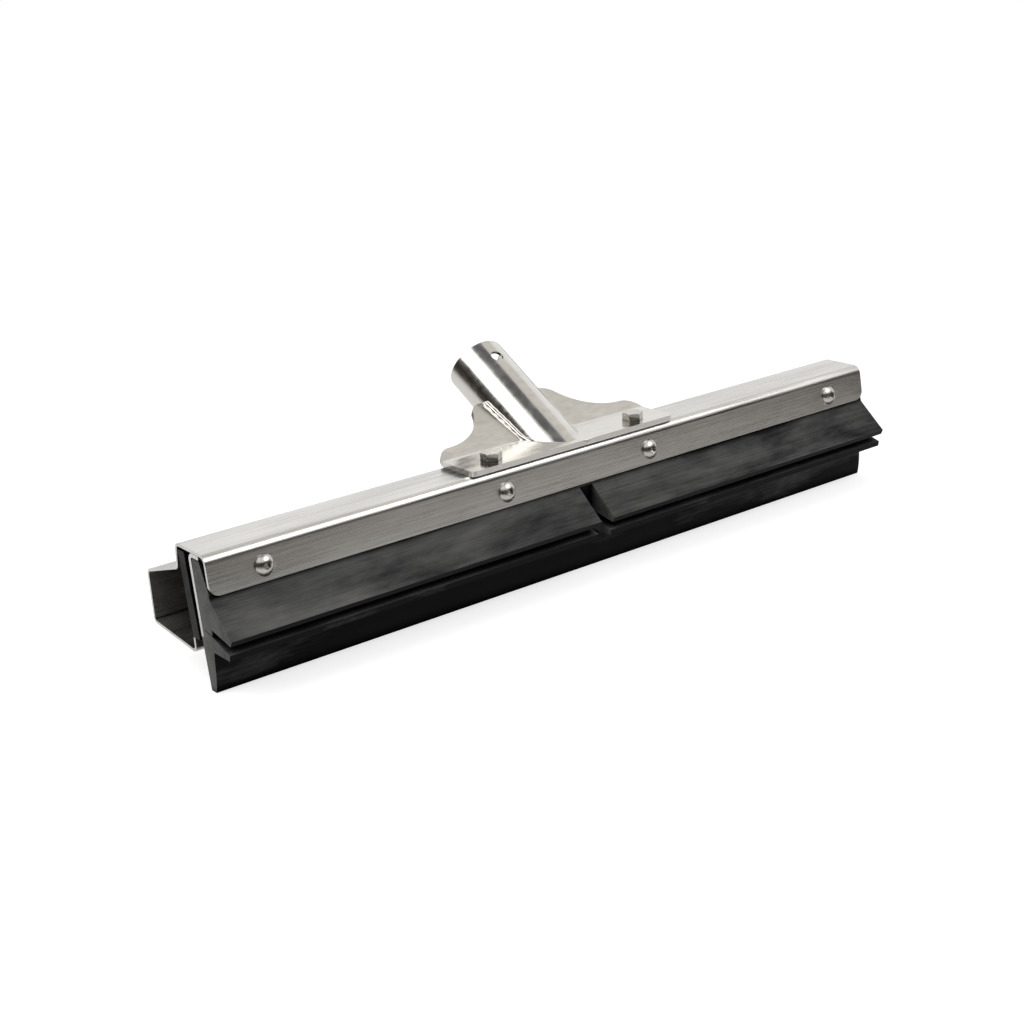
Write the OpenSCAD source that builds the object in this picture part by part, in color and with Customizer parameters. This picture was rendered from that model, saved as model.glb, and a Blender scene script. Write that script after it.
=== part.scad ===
// Floor squeegee head with a trough behind it and a socket for a round handle.
// Millimetres. X runs along the head, +Y points back to the handle, +Z is up.
// The origin is the middle of the wiper's foot, the face that meets the floor.

/* [Head frame] */
// Length of the head
head_l = 450; // [300:10:750]
// Height of the head frame's top above the floor
head_h = 67.5; // [64:0.5:76]
// Thickness of the frame's sheet
sheet_t = 1.5; // [1.2:0.1:1.8]
// Outside width of the channel's top
channel_w = 27; // [26.5:0.5:30]
// Length of the front flange along its slope
flange_l = 19.7; // [18.5:0.1:21]
// Forward lean of the front flange and of the clamp plate, in degrees
clamp_lean = 8.5; // [7:0.5:10]
// Inside radius of the bend between the top and the front flange
front_bend_r = 3.5; // [2:0.5:4]
// Inside radius of the frame's other bends
bend_r = 1.6; // [1:0.1:2]
// Radius of the front flange's two lower corners
flange_corner_r = 5.5; // [3:0.5:10]
// Height of the flange behind the channel
back_flange_h = 12.2; // [10:0.2:14]
// Backward lean of that flange, in degrees
back_flange_lean = 4; // [0:1:6]

/* [Trough] */
// Depth of the trough's roof, from the back flange to its back wall
roof_w = 31.2; // [26:0.2:40]
// Fall of the roof towards the back, in degrees
roof_slope = 17.6; // [12:0.2:20]
// Height of the back wall
back_wall_h = 26.9; // [24:0.1:30]
// Forward lean of the back wall, in degrees
back_wall_lean = 4.5; // [2:0.5:8]
// Distance of the trough's front lip behind the channel's front corner
lip_setback = 15.6; // [14.5:0.1:17]
// Fall of the floor towards the lip, in degrees
floor_slope = 5.3; // [3:0.1:6]
// Height of the lip
lip_h = 8; // [6:0.5:10]
// Backward lean of the lip, in degrees
lip_lean = 4; // [0:1:5]

/* [Clamp plate] */
// Thickness of the clamp plate
plate_t = 2; // [1.5:0.1:2.2]
// Length of the clamp plate down its slope, from the channel's corner line
plate_l = 40; // [36:1:43]
// Depth of the plate's hooked top
hook_w = 9.6; // [7:0.2:10]
// Inside radius of the hook's bend
hook_bend_r = 1.5; // [1:0.1:2]
// Gap between parts that bear on each other
seat_gap = 0.1; // [0.05:0.05:0.2]

/* [Wiper] */
// Thickness of the wiper's clamped body, square to the front flange
clamp_t = 11.7; // [11:0.1:12.4]
// Width of the wiper's top edge
wiper_top_w = 7.2; // [6:0.2:9]
// Gap between the wiper's top edge and the hooked plate
wiper_top_gap = 0.5; // [0.2:0.1:0.9]
// Distance down the front flange over which the wiper's front thickens
wiper_taper_l = 18; // [10:0.5:18]
// Place of the blade's front face behind the channel's front corner
blade_front = -1; // [-1.2:0.1:0]
// How far that face curves back at the foot
foot_curl = 1.2; // [0.4:0.1:2]
// Height over which it curves
foot_curl_h = 11; // [8:0.5:16]
// Thickness of the blade at the foot
foot_w = 4.4; // [3.6:0.1:6]
// Distance of the upper lip's root corner below the front flange, where its curve starts
lip_drop = 1.5; // [0.8:0.1:2.4]
// Length of the upper lip's front face
lip_face_l = 22.8; // [18:0.2:26]
// Angle of that face from upright, in degrees
lip_face_angle = 48.5; // [40:0.5:52]
// How far the upper lip's lower edge lies behind its crest
lip_tip_cut = 1.4; // [0.8:0.1:2]
// Height of the groove between the lips at its root
groove_h = 3.5; // [3:0.1:4.4]
// Fall of the upper lip's underside and of the slit towards the front, in degrees
lip_slope = 11.5; // [8:0.1:13]
// Fall of the groove's lower side towards the front, in degrees
groove_slope = 17; // [14:0.1:18]
// Depth of the groove's lower root below the frame's top
groove_root = 39.3; // [37:0.1:40.5]
// How far the lower lip reaches in front of the blade
lower_lip_w = 14.8; // [12:0.2:16]
// Height of the lower lip's end face
lower_lip_tip = 3; // [2.2:0.1:4]
// How far that face's lower edge lies behind its upper edge
lower_tip_cut = 0.5; // [0.2:0.1:1.2]
// Width of the slit that runs on behind the groove
slit_w = 0.4; // [0.3:0.1:0.8]
// Thickness of the rubber left behind the slit
slit_hinge = 1.4; // [1:0.1:2.5]
// Width of the notch through both lips
notch_w = 8.8; // [6:0.2:14]
// Distance of the notch from mid-length, towards the right end
notch_x = 3.3; // [-10:0.1:10]

/* [Rear strip] */
// Thickness of the rear strip, measured level
strip_t = 6.1; // [4.5:0.1:6.3]
// Gap between the strip's top and the channel's top
strip_top_gap = 1.5; // [1.2:0.1:2.5]

/* [Handle bracket] */
// Thickness of each of the bracket's two sheets
bracket_t = 1.5; // [1:0.1:2]
// Length of the bracket's base along the head
bracket_w = 140; // [132:2:170]
// Depth of the base, from its front edge to the bend
base_d = 24.9; // [23:0.1:26]
// Distance of the base's front edge behind the channel's front corner
base_setback = 0.3; // [0:0.1:1]
// Slope of the two wings, in degrees
wing_slope = 25; // [20:1:28]
// Length of the wings up their slope
wing_l = 35; // [33:1:40]
// Inside radius of the bend between base and wings
wing_bend_r = 6; // [3:0.5:8]
// Radius of the wings' outer shoulders
shoulder_r = 10; // [6:0.5:12]
// Radius of the wings' hollow sweep
sweep_r = 34; // [30:1:38]
// Radius of the wings' upper corners
wing_top_r = 9; // [6:0.5:10]
// Radius of the base's front corners
base_corner_r = 3; // [1:0.5:6]

/* [Handle socket] */
// Outside diameter of the socket tube
tube_d = 33.7; // [30:0.1:34.5]
// Wall of the tube around the handle's seat
seat_wall = 1.5; // [1.2:0.1:2]
// Step in the bore at the seat's lower end
seat_step = 0.3; // [0.2:0.1:1]
// Rise of the socket above level, in degrees
socket_angle = 31; // [28:1:35]
// Distance from the point where the socket's axis meets the frame's top to the mouth
socket_l = 60.5; // [56:0.5:80]
// Place of that point behind the channel's front corner
socket_y = 31.8; // [29:0.1:33]
// Diameter of the hole for the handle's screw
screw_hole_d = 7; // [4:0.5:9]
// Distance of that hole from the mouth
screw_hole_l = 12.5; // [8:0.5:20]
// Gap between the socket's lower end and the trough's roof
socket_gap = 2; // [1:0.5:6]
// Leg of the weld around the socket
weld_leg = 2; // [1:0.2:3]

/* [Fasteners] */
// Thread diameter of every screw and bolt
thread_d = 6; // [5:0.5:6]
// Extra diameter of the holes that the screws pass
hole_play = 0.5; // [0.3:0.1:1]
// Extra diameter of the threaded bores over the thread
thread_play = 0.1; // [0.06:0.02:0.2]
// Size across flats of the bolt heads and nuts
flats = 10; // [8:0.5:10]
// Distance of the outer flange screws from the head's ends
screw_end = 30; // [20:1:50]
// Distance of the inner flange screws from mid-length
screw_inner = 50; // [30:1:55]
// Distance of the flange screws down the front flange
screw_drop = 12; // [11:0.5:13]
// Diameter of the flange screws' heads
button_d = 10.5; // [9:0.1:12]
// Height of those heads
button_h = 3.3; // [2.5:0.1:4]
// Size across flats of the heads' sockets
socket_flats = 4; // [3:0.5:5]
// Depth of the heads' sockets
socket_depth = 2; // [1:0.1:2.2]
// Height of the nuts behind the clamp plate
thin_nut_h = 3.2; // [2.5:0.1:3.2]
// How far the flange screws end short of those nuts' rear faces
screw_short = 0.5; // [0:0.1:1]
// Distance of the bracket bolts from the base's ends
bolt_margin = 20.5; // [16:0.5:24]
// Distance of the bracket bolts behind the channel's front corner
bolt_y = 10.7; // [9.5:0.1:12]
// Height of the bolt heads
bolt_head_h = 4; // [3:0.1:5]
// Chamfer at the top of the bolt heads' corners
head_chamfer = 0.6; // [0.3:0.1:1]
// Height of the nuts under the channel's top
nut_h = 5; // [4:0.1:5]
// Length of bolt that stands out under its nut
bolt_end = 1.5; // [0.5:0.1:2]
// Gap around each of those nuts in the plate and the wiper
nut_room = 1.2; // [0.8:0.1:1.6]

/* [Hidden] */
$fn = 64;
steel = "silver";
bright_steel = "gainsboro";
black_rubber = [0.13, 0.13, 0.14];
arc_steps = 8;
cut = 1;

// The section is drawn in [y, z], from the corner line of the channel's top and front flange.
foot_y = blade_front + foot_curl + foot_w / 2;
hole_r = (thread_d + hole_play) / 2;
thread_r = (thread_d + thread_play) / 2;
hex_r = flats / 2 / cos(30);

// Front flange and clamp stack: u counts inwards, square to the flange, v down along it.
function on_clamp(u, v) = [u * cos(clamp_lean) - v * sin(clamp_lean),
                           -u * sin(clamp_lean) - v * cos(clamp_lean)];
function v_at(u, z) = (-z - u * sin(clamp_lean)) / cos(clamp_lean);
wiper_u0 = sheet_t + seat_gap;
wiper_u1 = wiper_u0 + clamp_t;
plate_u0 = wiper_u1 + seat_gap;
plate_u1 = plate_u0 + plate_t;

// Head frame, along its outer surface
back_top = [channel_w, 0];
roof_front = back_top + back_flange_h * [tan(back_flange_lean), -1];
roof_back = roof_front + roof_w * [1, -tan(roof_slope)];
wall_foot = roof_back - back_wall_h * [tan(back_wall_lean), 1];
lip_foot = [lip_setback, wall_foot[1] - (wall_foot[0] - lip_setback) * tan(floor_slope)];
lip_top = lip_foot + lip_h * [tan(lip_lean), 1];
frame_path = [on_clamp(0, flange_l), [0, 0], back_top, roof_front, roof_back, wall_foot,
              lip_foot, lip_top];
frame_radii = [0, front_bend_r, bend_r, bend_r, bend_r, bend_r, bend_r, 0];

// Clamp plate, along its upper and rear surface
plate_top = -sheet_t - seat_gap;
plate_corner = on_clamp(plate_u1, v_at(plate_u1, plate_top));
plate_path = [plate_corner - [hook_w, 0], plate_corner, on_clamp(plate_u1, plate_l)];

// Handle bracket and socket
bracket_h = 2 * bracket_t;
bend_y = base_setback + base_d;
bolt_x = bracket_w / 2 - bolt_margin;
bracket_path = [[base_setback, 0], [bend_y, 0],
                [bend_y, 0] + (wing_l + bracket_h) * [cos(wing_slope), sin(wing_slope)]];
bend_top_y = bend_y - bracket_h * tan(wing_slope / 2);
tube_r = tube_d / 2;
seat_r = tube_r - seat_wall;
roof_fall = tan(roof_slope);
socket_low = (roof_front[1] + socket_gap / cos(roof_slope) + tube_r * cos(socket_angle)
              - (socket_y + tube_r * sin(socket_angle) - roof_front[0]) * roof_fall)
             / (sin(socket_angle) + cos(socket_angle) * roof_fall);
shoulder_x = bracket_w / 2 - shoulder_r;
shoulder_s = -1;
sweep_s = shoulder_s + shoulder_r + sweep_r;
wing_top_s = wing_l - wing_top_r;
wing_top_x = shoulder_x - sqrt(pow(sweep_r + wing_top_r, 2) - pow(sweep_s - wing_top_s, 2));
sweep_turn = atan2(sweep_s - wing_top_s, shoulder_x - wing_top_x);

// Wiper section
wiper_top = plate_top - plate_t - wiper_top_gap;
wiper_rear_top = on_clamp(wiper_u1, v_at(wiper_u1, wiper_top));
lip_start = on_clamp(wiper_u0, flange_l + lip_drop);
lip_crest = lip_start - lip_face_l * [sin(lip_face_angle), cos(lip_face_angle)];
function groove_z(y) = -groove_root + (y - blade_front) * tan(groove_slope);
function slit_z(y) = -groove_root + (y - blade_front) * tan(lip_slope);
lip_edge_y = lip_crest[0] + lip_tip_cut;
lip_root = [on_clamp(wiper_u0, wiper_taper_l), lip_start, lip_crest];
lip_root_r = lip_drop / tan((lip_face_angle - clamp_lean) / 2);
lower_tip_y = blade_front - lower_lip_w;
lower_lip_z = groove_z(lower_tip_y) - lower_lip_tip;
curl_r = (pow(foot_curl, 2) + pow(foot_curl_h, 2)) / 2 / foot_curl;
curl_turn = asin(foot_curl_h / curl_r);
slit_end_y = on_clamp(wiper_u1, v_at(wiper_u1, -groove_root))[0] - slit_hinge;
wiper_section = [
    on_clamp(wiper_u1, v_at(wiper_u1, wiper_top) + hook_bend_r),
    wiper_rear_top - [hook_bend_r, 0],
    wiper_rear_top - [wiper_top_w, 0],
    lip_root[0],
    each bend(lip_root, 1, lip_root_r),
    lip_crest,
    [lip_edge_y, slit_z(lip_edge_y) + groove_h],
    [blade_front, slit_z(blade_front) + groove_h],
    [blade_front, slit_z(blade_front) + slit_w],
    [slit_end_y, slit_z(slit_end_y) + slit_w],
    [slit_end_y, slit_z(slit_end_y)],
    [blade_front, slit_z(blade_front)],
    [lower_tip_y, groove_z(lower_tip_y)],
    [lower_tip_y + lower_tip_cut, lower_lip_z],
    [blade_front, lower_lip_z],
    each arc([blade_front + curl_r, -head_h + foot_curl_h], curl_r, 180, 180 + curl_turn),
    [blade_front + foot_curl + foot_w, -head_h],
    on_clamp(plate_u1, plate_l + seat_gap),
    on_clamp(wiper_u1, plate_l + seat_gap)
];

// Pockets for the nuts under the channel's top
pocket_w = 2 * (hex_r + nut_room);
pocket_z = -sheet_t - nut_h - bolt_end - nut_room;

// Paths of bent sheet
function left_of(d) = [-d[1], d[0]];
function turned(p, a) = [p[0] * cos(a) - p[1] * sin(a), p[0] * sin(a) + p[1] * cos(a)];
function heading(path, i) = (path[i + 1] - path[i]) / norm(path[i + 1] - path[i]);
function turns_left(path, i) = cross(heading(path, i - 1), heading(path, i)) > 0;
function beside(path, t) = [for (i = [0 : len(path) - 1])
    i == 0 ? path[0] + t * left_of(heading(path, 0))
    : i == len(path) - 1 ? path[i] + t * left_of(heading(path, i - 1))
    : let (a = left_of(heading(path, i - 1)), b = left_of(heading(path, i)))
      path[i] + t * (a + b) / (1 + a * b)];
function bend(path, i, r) =
    let (d0 = heading(path, i - 1), d1 = heading(path, i))
    let (side = turns_left(path, i) ? 1 : -1, turn = acos(d0 * d1))
    let (arm = -side * r * left_of(d0), centre = path[i] - r * tan(turn / 2) * d0 - arm)
    [for (k = [0 : arc_steps]) centre + turned(arm, side * turn * k / arc_steps)];
function with_bends(path, radii) = [for (i = [0 : len(path) - 1])
    each (i == 0 || i == len(path) - 1 ? [path[i]] : bend(path, i, radii[i]))];
// Offsets a path to one side and gives each bend the radius it has there: t is the sheet's full
// thickness to the right of the path (negative) or to the left, and at is how far across it lies.
function across(path, radii, t, at) = with_bends(beside(path, at),
    [for (i = [0 : len(path) - 1])
        i == 0 || i == len(path) - 1 ? 0
        : radii[i] + (turns_left(path, i) == (t > 0) ? abs(t - at) : abs(at))]);
function reversed(list) = [for (i = [len(list) - 1 : -1 : 0]) list[i]];
function sheet(path, radii, t, from, to) =
    concat(across(path, radii, t, from), reversed(across(path, radii, t, to)));
function arc(c, r, a0, a1) = [for (k = [0 : 2 * arc_steps])
    c + r * [cos(a0 + (a1 - a0) * k / 2 / arc_steps), sin(a0 + (a1 - a0) * k / 2 / arc_steps)]];

// Moves the section from the channel's corner line to the model's origin
module placed() {
    translate([0, -foot_y, head_h]) children();
}

// Draws a [y, z] section along X
module along_x(length, section) {
    rotate([90, 0, 90]) linear_extrude(length, center = true) polygon(section);
}

// Stands on the front flange at x, v down it: z points inwards and y down the flange
module on_flange(x, v) {
    translate([x, on_clamp(0, v)[0], on_clamp(0, v)[1]]) rotate([-90 - clamp_lean, 0, 0]) children();
}

// Stands on the socket's axis where it meets the frame's top: z points out of the mouth
module on_socket() {
    translate([0, socket_y, 0]) rotate([socket_angle - 90, 0, 0]) children();
}

// Undoes on_socket, for what lies level but is cut in the socket's own frame
module off_socket() {
    rotate([90 - socket_angle, 0, 0]) translate([0, -socket_y, 0]) children();
}

module at_screws() {
    for (x = [-1, 1] * (head_l / 2 - screw_end)) on_flange(x, screw_drop) children();
    for (x = [-1, 1] * screw_inner) on_flange(x, screw_drop) children();
}

module at_bolts() {
    for (x = [-1, 1] * bolt_x) translate([x, bolt_y, 0]) children();
}

module hex(across_flats, height) {
    cylinder(r = across_flats / 2 / cos(30), h = height, $fn = 6);
}

// Front flange, channel, trough roof, back wall, floor and lip: one bent sheet
module head_frame() {
    color(steel) placed() difference() {
        along_x(head_l, sheet(frame_path, frame_radii, -sheet_t, 0, -sheet_t));
        for (side = [-1, 1]) on_flange(side * (head_l / 2 - flange_corner_r), flange_l - flange_corner_r)
            scale([side, 1, 1]) difference() {
                translate([0, 0, -cut]) cube([flange_corner_r + cut, flange_corner_r + cut, sheet_t + 2 * cut]);
                translate([0, 0, -2 * cut]) cylinder(r = flange_corner_r, h = sheet_t + 4 * cut);
            }
        at_screws() translate([0, 0, -cut]) cylinder(r = hole_r, h = sheet_t + 2 * cut);
        at_bolts() translate([0, 0, -sheet_t - cut]) cylinder(r = hole_r, h = sheet_t + 2 * cut);
    }
}

// Strip that presses the wiper to the front flange, with its top hooked over the wiper
module clamp_plate() {
    color(bright_steel) placed() difference() {
        along_x(head_l, sheet(plate_path, [0, hook_bend_r, 0], -plate_t, 0, -plate_t));
        at_screws() translate([0, 0, plate_u0 - cut]) cylinder(r = hole_r, h = plate_t + 2 * cut);
        at_bolts() nut_pocket();
    }
}

// Room for a nut and its bolt's end, open to the front, back and top
module nut_pocket() {
    translate([-pocket_w / 2, -channel_w, pocket_z]) cube([pocket_w, 2 * channel_w, -pocket_z]);
}

// Rubber profile: clamped body, two lips with a groove between them, and the blade
module wiper_blade() {
    color(black_rubber) placed() difference() {
        along_x(head_l, wiper_section);
        translate([notch_x - notch_w / 2, lip_crest[0] - cut, lower_lip_z - cut])
            cube([notch_w, blade_front - lip_crest[0] + cut, lip_start[1] - lower_lip_z + cut]);
        at_screws() cylinder(r = hole_r, h = plate_u1);
        at_bolts() nut_pocket();
    }
}

// Flat rubber strip that closes the trough's front, between the channel's back corner and the lip
module rear_strip() {
    top = [channel_w - sheet_t - seat_gap, -sheet_t - strip_top_gap];
    foot = [lip_top[0] + sheet_t, lip_top[1]];
    color(black_rubber) placed() along_x(head_l, [top, foot, foot - [strip_t, 0], top - [strip_t, 0]]);
}

// Flat outline of the base and, turned up on the bend, of the wings
module bracket_outline() {
    base_back = bend_top_y + 0.1;
    linear_extrude(4 * bracket_h, center = true) difference() {
        translate([-bracket_w / 2, base_setback]) square([bracket_w, base_back - base_setback]);
        for (side = [-1, 1]) translate([side * (bracket_w / 2 - base_corner_r), base_setback + base_corner_r])
            scale([side, -1]) difference() {
                square(base_corner_r + cut);
                circle(r = base_corner_r);
            }
    }
    half = concat([[0, -wing_bend_r / 2], [bracket_w / 2, -wing_bend_r / 2]],
        arc([shoulder_x, shoulder_s], shoulder_r, 0, 90),
        arc([shoulder_x, sweep_s], sweep_r, 270, 180 + sweep_turn),
        arc([wing_top_x, wing_top_s], wing_top_r, sweep_turn, 90),
        [[0, wing_l]]);
    translate([0, bend_top_y, bracket_h]) rotate([wing_slope, 0, 0])
        linear_extrude(4 * bracket_h, center = true) for (side = [-1, 1]) scale([side, 1]) polygon(half);
}

// One of the bracket's nested sheets, between two heights above the channel's top
module bracket_sheet(from, to) {
    difference() {
        intersection() {
            along_x(bracket_w, sheet(bracket_path, [0, wing_bend_r, 0], bracket_h, from, to));
            bracket_outline();
        }
        intersection() {
            on_socket() cylinder(r = tube_r + seat_gap, h = 2 * socket_l, center = true);
            socket_space();
        }
        at_bolts() translate([0, 0, -cut]) cylinder(r = hole_r, h = bracket_h + 2 * cut);
    }
}

module bracket_lower_sheet() {
    color(steel) placed() bracket_sheet(0, bracket_t);
}

module bracket_upper_sheet() {
    color(steel) placed() bracket_sheet(bracket_t, bracket_h);
}

// Room above the bracket's base
module above_base() {
    reach = 2 * (socket_l + tube_d);
    translate([-tube_d, -reach, bracket_h]) cube([2 * tube_d, 2 * reach, reach]);
}

// Room behind the frame's back corner, along the socket's axis
module behind_frame() {
    translate([-tube_d, -tube_d, socket_low]) cube([2 * tube_d, 2 * tube_d, 2 * (socket_l + tube_d)]);
}

// Where the socket may be
module socket_space() {
    above_base();
    on_socket() behind_frame();
}

// Round tube, cut level where it stands on the bracket's base and square behind the frame.
// The handle's seat is bored wider, down to the square cut. Both end in one plane, so the
// tube is cut in its own frame and turned once.
module socket_tube() {
    color(bright_steel) placed() on_socket() intersection() {
        difference() {
            translate([0, 0, -socket_l]) cylinder(r = tube_r, h = 2 * socket_l, $fn = 128);
            translate([0, 0, -2 * socket_l]) cylinder(r = seat_r - seat_step, h = 4 * socket_l, $fn = 128);
            translate([0, 0, socket_low]) cylinder(r = seat_r, h = 2 * socket_l, $fn = 128);
            translate([0, 0, socket_l - screw_hole_l]) rotate([90, 0, 0])
                cylinder(r = screw_hole_d / 2, h = tube_d);
        }
        union() {
            off_socket() above_base();
            behind_frame();
        }
    }
}

// Weld in the corner between the socket and the bracket
module socket_weld() {
    color(bright_steel) placed() difference() {
        intersection() {
            along_x(bracket_w, sheet(bracket_path, [0, wing_bend_r, 0], bracket_h, bracket_h, bracket_h + weld_leg));
            on_socket() cylinder(r = tube_r + weld_leg, h = 2 * socket_l, center = true);
            bracket_outline();
        }
        on_socket() cylinder(r = tube_r, h = 3 * socket_l, center = true);
    }
}

// Button-head screw with a hexagon socket, its head on the flange
module flange_screw(x) {
    length = plate_u1 + thin_nut_h - screw_short;
    rim = button_h / 6;
    color(bright_steel) placed() on_flange(x, screw_drop) difference() {
        union() {
            cylinder(r = thread_d / 2, h = length);
            rotate_extrude() polygon(concat([[0, 0], [button_d / 2, 0]],
                [for (k = [0 : arc_steps]) [button_d / 2 * (1 - 0.5 * (1 - cos(90 * k / arc_steps))),
                    -rim - (button_h - rim) * sin(90 * k / arc_steps)]],
                [[0, -button_h]]));
        }
        translate([0, 0, -button_h - cut]) hex(socket_flats, socket_depth + cut);
    }
}

// Thin nut behind the clamp plate
module clamp_nut(x) {
    color(steel) placed() on_flange(x, screw_drop) translate([0, 0, plate_u1]) difference() {
        rotate([0, 0, 30]) hex(flats, thin_nut_h);
        translate([0, 0, -cut]) cylinder(r = thread_r, h = thin_nut_h + 2 * cut);
    }
}

// Hexagon bolt through the bracket and the channel's top
module bracket_bolt(x) {
    length = bracket_h + sheet_t + nut_h + bolt_end;
    color(bright_steel) placed() translate([x, bolt_y, bracket_h]) {
        translate([0, 0, -length]) cylinder(r = thread_d / 2, h = length);
        intersection() {
            rotate([0, 0, 30]) hex(flats, bolt_head_h);
            cylinder(r1 = hex_r - head_chamfer + 2 * bolt_head_h, r2 = hex_r - head_chamfer, h = bolt_head_h);
        }
    }
}

// Nut under the channel's top
module bracket_nut(x) {
    color(steel) placed() translate([x, bolt_y, -sheet_t - nut_h]) difference() {
        rotate([0, 0, 30]) hex(flats, nut_h);
        translate([0, 0, -cut]) cylinder(r = thread_r, h = nut_h + 2 * cut);
    }
}

outer_x = head_l / 2 - screw_end;

head_frame();
clamp_plate();
wiper_blade();
rear_strip();
bracket_lower_sheet();
bracket_upper_sheet();
socket_tube();
socket_weld();
flange_screw(-outer_x);  // flange_screw_1
flange_screw(-screw_inner);  // flange_screw_2
flange_screw(screw_inner);  // flange_screw_3
flange_screw(outer_x);  // flange_screw_4
clamp_nut(-outer_x);  // clamp_nut_1
clamp_nut(-screw_inner);  // clamp_nut_2
clamp_nut(screw_inner);  // clamp_nut_3
clamp_nut(outer_x);  // clamp_nut_4
bracket_bolt(-bolt_x);  // bracket_bolt_left
bracket_bolt(bolt_x);  // bracket_bolt_right
bracket_nut(-bolt_x);  // bracket_nut_left
bracket_nut(bolt_x);  // bracket_nut_right
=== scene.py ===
# %% [markdown]
# # Floor squeegee head
# The part is a folded stainless head with a rubber wiper clamped in it and a bracket with a
# round handle socket on top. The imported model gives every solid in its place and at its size.
# Here each solid gets softened edges, a surface finish and the small things that a solid model
# leaves out, and then the photograph's camera and light.

# %% Load the frame
import math
import bpy
from mathutils import Matrix, Vector


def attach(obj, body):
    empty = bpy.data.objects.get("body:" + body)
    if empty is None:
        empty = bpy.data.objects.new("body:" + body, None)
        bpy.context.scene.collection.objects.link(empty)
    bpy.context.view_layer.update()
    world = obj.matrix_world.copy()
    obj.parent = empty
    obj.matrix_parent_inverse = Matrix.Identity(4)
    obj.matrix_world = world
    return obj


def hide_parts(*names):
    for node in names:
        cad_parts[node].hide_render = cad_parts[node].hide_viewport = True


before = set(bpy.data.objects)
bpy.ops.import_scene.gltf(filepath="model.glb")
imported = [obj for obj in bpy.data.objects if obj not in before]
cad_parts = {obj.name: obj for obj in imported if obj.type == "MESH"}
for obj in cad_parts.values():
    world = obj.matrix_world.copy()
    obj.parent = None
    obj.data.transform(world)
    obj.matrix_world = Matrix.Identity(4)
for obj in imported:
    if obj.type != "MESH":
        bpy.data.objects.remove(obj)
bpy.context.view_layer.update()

MM = 0.001

# %% [markdown]
# ## The camera
# The photograph was taken from the left front, a little above the head, and the picture is
# turned a few degrees. The lens shift stands for the crop of a larger picture. A longer lens
# from further away would flatten the head, and its two ends would come out too alike.

# %% Camera
PICTURE_PX = 1024
FOCAL_PX = 1725
SENSOR_MM = 36
CAMERA_PLACE = Vector((-0.5695, -0.6577, 0.3371))
LOOKING_AT = Vector((-0.1153, -0.0395, 0.1101))
PICTURE_TURN = math.radians(-3.19)
CROP_SHIFT_X = 0.0689
CROP_SHIFT_Y = -0.0795
NEAREST_SEEN = 10 * MM

camera_data = bpy.data.cameras.new("photo_camera")
camera = bpy.data.objects.new("photo_camera", camera_data)
bpy.context.collection.objects.link(camera)
aimed = (LOOKING_AT - CAMERA_PLACE).to_track_quat("-Z", "Y").to_matrix().to_4x4()
camera.matrix_world = (Matrix.Translation(CAMERA_PLACE) @ aimed
                       @ Matrix.Rotation(PICTURE_TURN, 4, "Z"))
camera_data.sensor_width = SENSOR_MM
camera_data.lens = FOCAL_PX / PICTURE_PX * SENSOR_MM
camera_data.shift_x = CROP_SHIFT_X
camera_data.shift_y = CROP_SHIFT_Y
camera_data.clip_start = NEAREST_SEEN
bpy.context.scene.camera = camera
print("camera lens:", round(camera_data.lens, 1), "mm")

# %% [markdown]
# ## Colours
# Colours are picked as sRGB hex values, because that is how they are read off a screen, and
# Blender's shaders count in linear light. One function turns the first into the second, with
# the numbers of the sRGB standard. A plain level, such as a roughness, is written as a grey.


# %% Colours
def linear(hex_colour):
    values = [int(hex_colour[i:i + 2], 16) / 255 for i in (1, 3, 5)]
    return [v / 12.92 if v <= 0.04045 else ((v + 0.055) / 1.055) ** 2.4 for v in values] + [1.0]


def grey(level):
    return [level] * 3 + [1.0]


print("middle grey in linear light:", round(linear("#808080")[0], 3))

# %% [markdown]
# ## Shader nodes
# A material is a small graph of nodes. One function adds a node: its settings come as a
# dictionary, a colour ramp's two stops as places with their colours, and each input by its
# label, or by its number after an underscore. A value is set on the input, and another node's
# output is linked to it.


# %% Adding a node
def add_node(tree, kind, settings=None, stops=(), **inputs):
    node = tree.nodes.new("ShaderNode" + kind)
    for name, value in (settings or {}).items():
        setattr(node, name, value)
    for index, (place, colour) in enumerate(stops):
        node.color_ramp.elements[index].position = place
        node.color_ramp.elements[index].color = colour
    for name, value in inputs.items():
        label = int(name[1:]) if name[1:].isdigit() else name.replace("_", " ")
        socket = node.inputs[label]
        if isinstance(value, bpy.types.NodeSocket):
            tree.links.new(value, socket)
        else:
            socket.default_value = value
    return node


def new_material(name):
    material = bpy.data.materials.new(name)
    material.use_nodes = True
    material.node_tree.nodes.clear()
    print("material:", name)
    return material, material.node_tree


# %% [markdown]
# ## Stainless steel
# Everything of metal here is stainless steel, brushed, tumbled or turned. Its strokes are a
# noise stretched along the head: fine across and long along. They vary the roughness and the
# tint a little, and on brushed sheet they carry a shallow bump and pull the highlights across
# the grain. A broad, soft noise adds the cloudy look that handled steel has. Narrow joints are
# painted dark: painted shade where other metal is close, for the shadow that falls there, and
# for the dirt that stays in them. A pressing also keeps soft waves, which bend what it mirrors.

# %% Steel measures
JOINT_REACH = 1.3 * MM
CLOUDS_PER_M = (14, 60, 60)
CLOUD_SHARE = 0.55
STROKE_DEPTH = 0.06 * MM
WAVES_PER_M = 38
WAVE_HEIGHT = 0.35 * MM
AO_SAMPLES = {"samples": 8}
MULTIPLY = {"operation": "MULTIPLY"}
MULTIPLY_ADD = {"operation": "MULTIPLY_ADD"}
print("joints darken within", round(JOINT_REACH / MM, 2), "mm, a wave is about",
      round(1000 / WAVES_PER_M), "mm long")

# %% [markdown]
# ## The steel's finish as a material
# The same graph makes all three finishes, because they differ only in their strokes, tint,
# roughness and waves. Separate graphs would say the same thing three times.


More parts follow.
